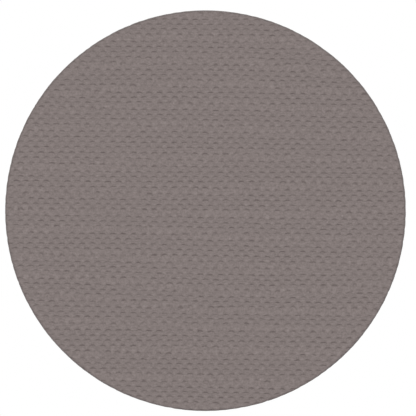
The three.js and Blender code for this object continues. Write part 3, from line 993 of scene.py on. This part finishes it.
def near(r, y, *steps):
    """Profile points (radius, y), each given as its step in millimetres from the corner (r, y)."""
    return [(r + out * MM, y + up * MM) for out, up in steps]


# Eyelet
barrel_low, barrel_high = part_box("eyelet_barrel")
BORE = 5.0 * MM  # radius, as is the next
FLANGE = (barrel_high[0] - barrel_low[0]) / 2
face_in = barrel_low[1]
w0, w1 = (corner[1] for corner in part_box("eyelet_washer"))
barrel_profile = (
    near(BORE, face_in, (0.1, 0.35), (0.6, 0.08), (1.2, 0))
    + near(FLANGE, face_in, (-1.2, 0.05), (-0.4, 0.2), (0, 0.5), (-0.15, 0.75), (-0.8, 0.72))
    + near(BORE, face_in, (0.9, 0.8), (0.75, 1.4))
    + near(BORE, w1, (0.75, 0), (1.3, 0.02), (1.9, 0.12), (2.15, 0.35), (1.9, 0.62), (1.2, 0.72))
    + near(BORE, w1, (0.5, 0.6), (0.1, 0.2), (0, -0.5))
    + near(BORE, face_in, (0, 0.9))
)
eyelet = turned("eyelet_rolled", barrel_profile, 72, (0, 0, 0), LOOKS["nickel"], closed=True)
fit(eyelet, "hang_tab", "nickel", "eyelet_barrel")
washer_profile = (
    near(BORE, w0, (0.85, 0.15), (1.5, 0.1))
    + near(FLANGE, w0, (-0.3, 0), (0, 0.2), (-0.1, 0.5))
    + near(FLANGE, w1, (-0.7, -0.02), (-1.6, 0))
    + near(BORE, w1, (1.5, -0.02), (0.85, -0.1))
)
washer = turned("eyelet_ring", washer_profile, 72, (0, 0, 0), LOOKS["nickel"], closed=True)
fit(washer, "hang_tab", "nickel", "eyelet_washer")

# Keeper strap
keeper_low, keeper_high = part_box("keeper_strap")
kfoot_low, kfoot_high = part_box("keeper_foot")
kx = (keeper_low[0] + keeper_high[0]) / 2
keeper_mid = (keeper_low[1] + keeper_high[1]) / 2
keeper = strap(
    "keeper_elastic", kx, [(keeper_mid, kfoot_high[2]), (keeper_mid, keeper_low[2])],
    keeper_high[0] - keeper_low[0], keeper_high[1] - keeper_low[1], LOOKS["elastic"], 1.3 * MM, 1.8 * MM,
    rounded=4 * MM,
)
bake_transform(keeper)
stand_for(keeper, "elastic", "keeper_strap", "keeper_foot")

kpatch_low, kpatch_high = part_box("keeper_patch")
kpatch = pad("keeper_backing", kpatch_low, kpatch_high, 3 * MM, LOOKS["patch"], dent_at=2.2 * MM)
fit(kpatch, "upper_panel", "patch", "keeper_patch")
kpatch_seam = sewn(
    "keeper_patch_stitches", kpatch_low, kpatch_high, kpatch_high[1] - 0.3 * MM, 2.2 * MM, "patch"
)
keeper_seam = sewn("keeper_stitches", kfoot_low, kfoot_high, kfoot_high[1] - 0.05 * MM, 2 * MM, "elastic")


def snap(name, profile, body, node):
    """A lathe piece about the axis of a CAD snap part."""
    low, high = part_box(node)
    centre = ((low[0] + high[0]) / 2, 0, (low[2] + high[2]) / 2)
    piece = turned(name, profile, 56, centre, LOOKS["nickel"], closed=profile[0][0] != 0)
    return fit(piece, body, "nickel", node)


def lathe_box(node):
    """Lowest and highest y of a round CAD part, and its radius."""
    low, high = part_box(node)
    return low[1], high[1], (high[0] - low[0]) / 2


c0, c1, cap_r = lathe_box("snap_cap")
cap_flat = c0 + 1.5 * MM
domed = snap("cap_domed", [
    (0, c0), (cap_r * 0.45, c0 + 0.06 * MM), (cap_r * 0.8, c0 + 0.3 * MM), (cap_r * 0.96, c0 + 0.7 * MM),
    (cap_r, c0 + 1.0 * MM), (cap_r * 0.97, cap_flat - 0.1 * MM), (cap_r * 0.9, cap_flat),
    (2 * MM, cap_flat), (2 * MM, c1 - 0.2 * MM), (1.8 * MM, c1), (0, c1),
], "keeper", "snap_cap")
s0, s1, sock_r = lathe_box("snap_socket")
socket = snap(
    "socket_ring",
    near(0, s0, (2.3, 0)) + near(sock_r, s0, (-0.3, 0), (0, 0.25), (-0.05, 0.9))
    + near(sock_r, s1, (-0.5, -0.3), (-1.0, 0)) + near(0, s1, (3.9, -0.02), (3.5, -0.25))
    + near(0, s0, (3.3, 0.95), (2.3, 0.9)),
    "keeper", "snap_socket",
)
t0, t1, stud_r = lathe_box("snap_stud")
snap(
    "stud_button",
    near(0, t0, (0, 1.3), (1.8, 1.3), (1.8, 0)) + near(stud_r, t0, (-0.2, 0), (0, 0.25), (-0.3, 0.65))
    + near(0, t0, (3.4, 0.72), (2.6, 0.95), (2.55, 1.4), (2.9, 2.0))
    + near(0, t1, (2.7, -0.25), (2.0, -0.03), (0, 0)),
    "upper_panel", "snap_stud",
)
p0, p1, post_r = lathe_box("snap_post")
snap(
    "post_rivet",
    near(0, p0, (0, 0)) + near(post_r, p0, (-0.3, 0.05), (0, 0.4), (-0.3, 0.78)) + near(0, p0, (1.5, 0.8))
    + near(0, p1, (1.5, -0.1), (1.3, 0), (0, 0)),
    "upper_panel", "snap_post",
)


def care_label():
    """A blank satin label, held by its top edge; its free corners lift a little."""
    low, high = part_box("care_label")
    width, height = high[0] - low[0], high[2] - low[2]
    columns, rows = 29, 19
    thick = 0.18 * MM
    points, lay = [], []
    for side in (0, 1):
        for j in range(rows):
            for i in range(columns):
                s, t = i / (columns - 1), j / (rows - 1)
                lift = (0.35 + 0.5 * (2 * s - 1) ** 2) * MM * t**1.6
                y = low[1] + lift + side * thick
                points.append((low[0] + s * width, y, high[2] - t * height))
                lay.append((s * width, t * height, 0))
    n = rows * columns
    faces = grid_faces(rows, columns)
    faces += grid_faces(rows, columns, start=n, flip=True)
    for i in range(columns - 1):
        faces.append((i + 1, i, n + i, n + i + 1))
        a = (rows - 1) * columns + i
        faces.append((a, a + 1, n + a + 1, n + a))
    for j in range(rows - 1):
        a, b = j * columns, (j + 1) * columns
        faces.append((a, b, n + b, n + a))
        a, b = a + columns - 1, b + columns - 1
        faces.append((b, a, n + a, n + b))
    piece = solid("blank_label", points, faces, lay, LOOKS["label"])
    fit(piece, "lower_panel", "label", "care_label")
    row = stitches(
        "label_stitches",
        [(x, low[1] + 0.3 * MM, high[2] - 1.6 * MM) for x in (low[0] + 1 * MM, high[0] - 1 * MM)],
        BACKWARDS, pitch=2.2 * MM, length=1.7 * MM, thick=0.2 * MM,
    )
    return piece, fit(row, "lower_panel", "label")


label, label_seam = care_label()

# Splice parts keep their CAD shapes
for node in ["splice_plate"] + [f"splice_rivet_{n}" for n in range(1, 5)] + ["splice_sleeve"]:
    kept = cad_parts[node]
    look = "shrink" if node == "splice_sleeve" else "steel_cad" if node == "splice_plate" else "nickel_cad"
    kept.data.materials.clear()
    kept.data.materials.append(LOOKS[look])

# ---- width and height of a CAD box


def sides(low, high):
    """Width and height of a CAD box seen from behind."""
    return float(high[0] - low[0]), float(high[2] - low[2])


# ---- camera, light and floor

DISC_SHARE = 0.96418  # of the picture's width
VIEW_WIDTH = 2 * RADIUS / DISC_SHARE
DISTANCE = 4.0  # of the camera from the cloth
AIM_RIGHT, AIM_UP = 3.532 * MM, 3.714 * MM  # from the disc's middle to the picture's
SENSOR = 36  # mm

camera_data = bpy.data.cameras.new("camera")
camera = add_object("camera", camera_data)
camera_data.sensor_width = SENSOR
camera_data.lens = SENSOR * DISTANCE / VIEW_WIDTH
camera_data.clip_start, camera_data.clip_end = 0.1, 50
camera.location = (CENTRE[0] + AIM_RIGHT, CENTRE[1] - HALF - DISTANCE, CENTRE[2] + AIM_UP)
camera.rotation_euler = (math.pi / 2, 0, 0)
bpy.context.scene.camera = camera


def softbox(name, place, target, size, power):
    data = bpy.data.lights.new(name, "AREA")
    data.shape, data.size, data.energy = "SQUARE", size, power
    lamp = add_object(name, data)
    lamp.location = place
    lamp.rotation_euler = (Vector(target) - Vector(place)).to_track_quat("-Z", "Y").to_euler()


middle = tuple(CENTRE)
softbox("key", (-0.3, -5.6, 0.5), middle, 2.6, 222)
softbox("back_fill", (1.6, 4.2, 2.2), middle, 2.4, 110)

world = bpy.data.worlds.new("studio")
world.use_nodes = True
background = world.node_tree.nodes["Background"].inputs
background["Color"].default_value = (1, 1, 1, 1)
background["Strength"].default_value = 1.0
bpy.context.scene.world = world
bpy.context.scene.view_settings.view_transform = "Standard"


FLOOR_DROP = 1.42  # below the disc's middle, out of the main view
FLOOR_REACH = 14.0


def floor():
    look = Look("pale_floor", roughness=0.7)
    place = look.node("ShaderNodeTexCoord").outputs["Object"]
    cloud = look.noise(look.scaled(place, 1.3), 3.0)
    look.set(Base_Color=look.mix(look.remap(cloud, 0.3, 0.7), grey(0.615), grey(0.625)))
    count = 57
    line = np.linspace(-FLOOR_REACH, FLOOR_REACH, count)
    xx, yy = np.meshgrid(line, line)
    points = np.stack([xx.ravel(), yy.ravel(), np.full(count * count, CENTRE[2] - FLOOR_DROP)], -1)
    make("floor", points, grid_faces(count, count), points, look.material)


floor()
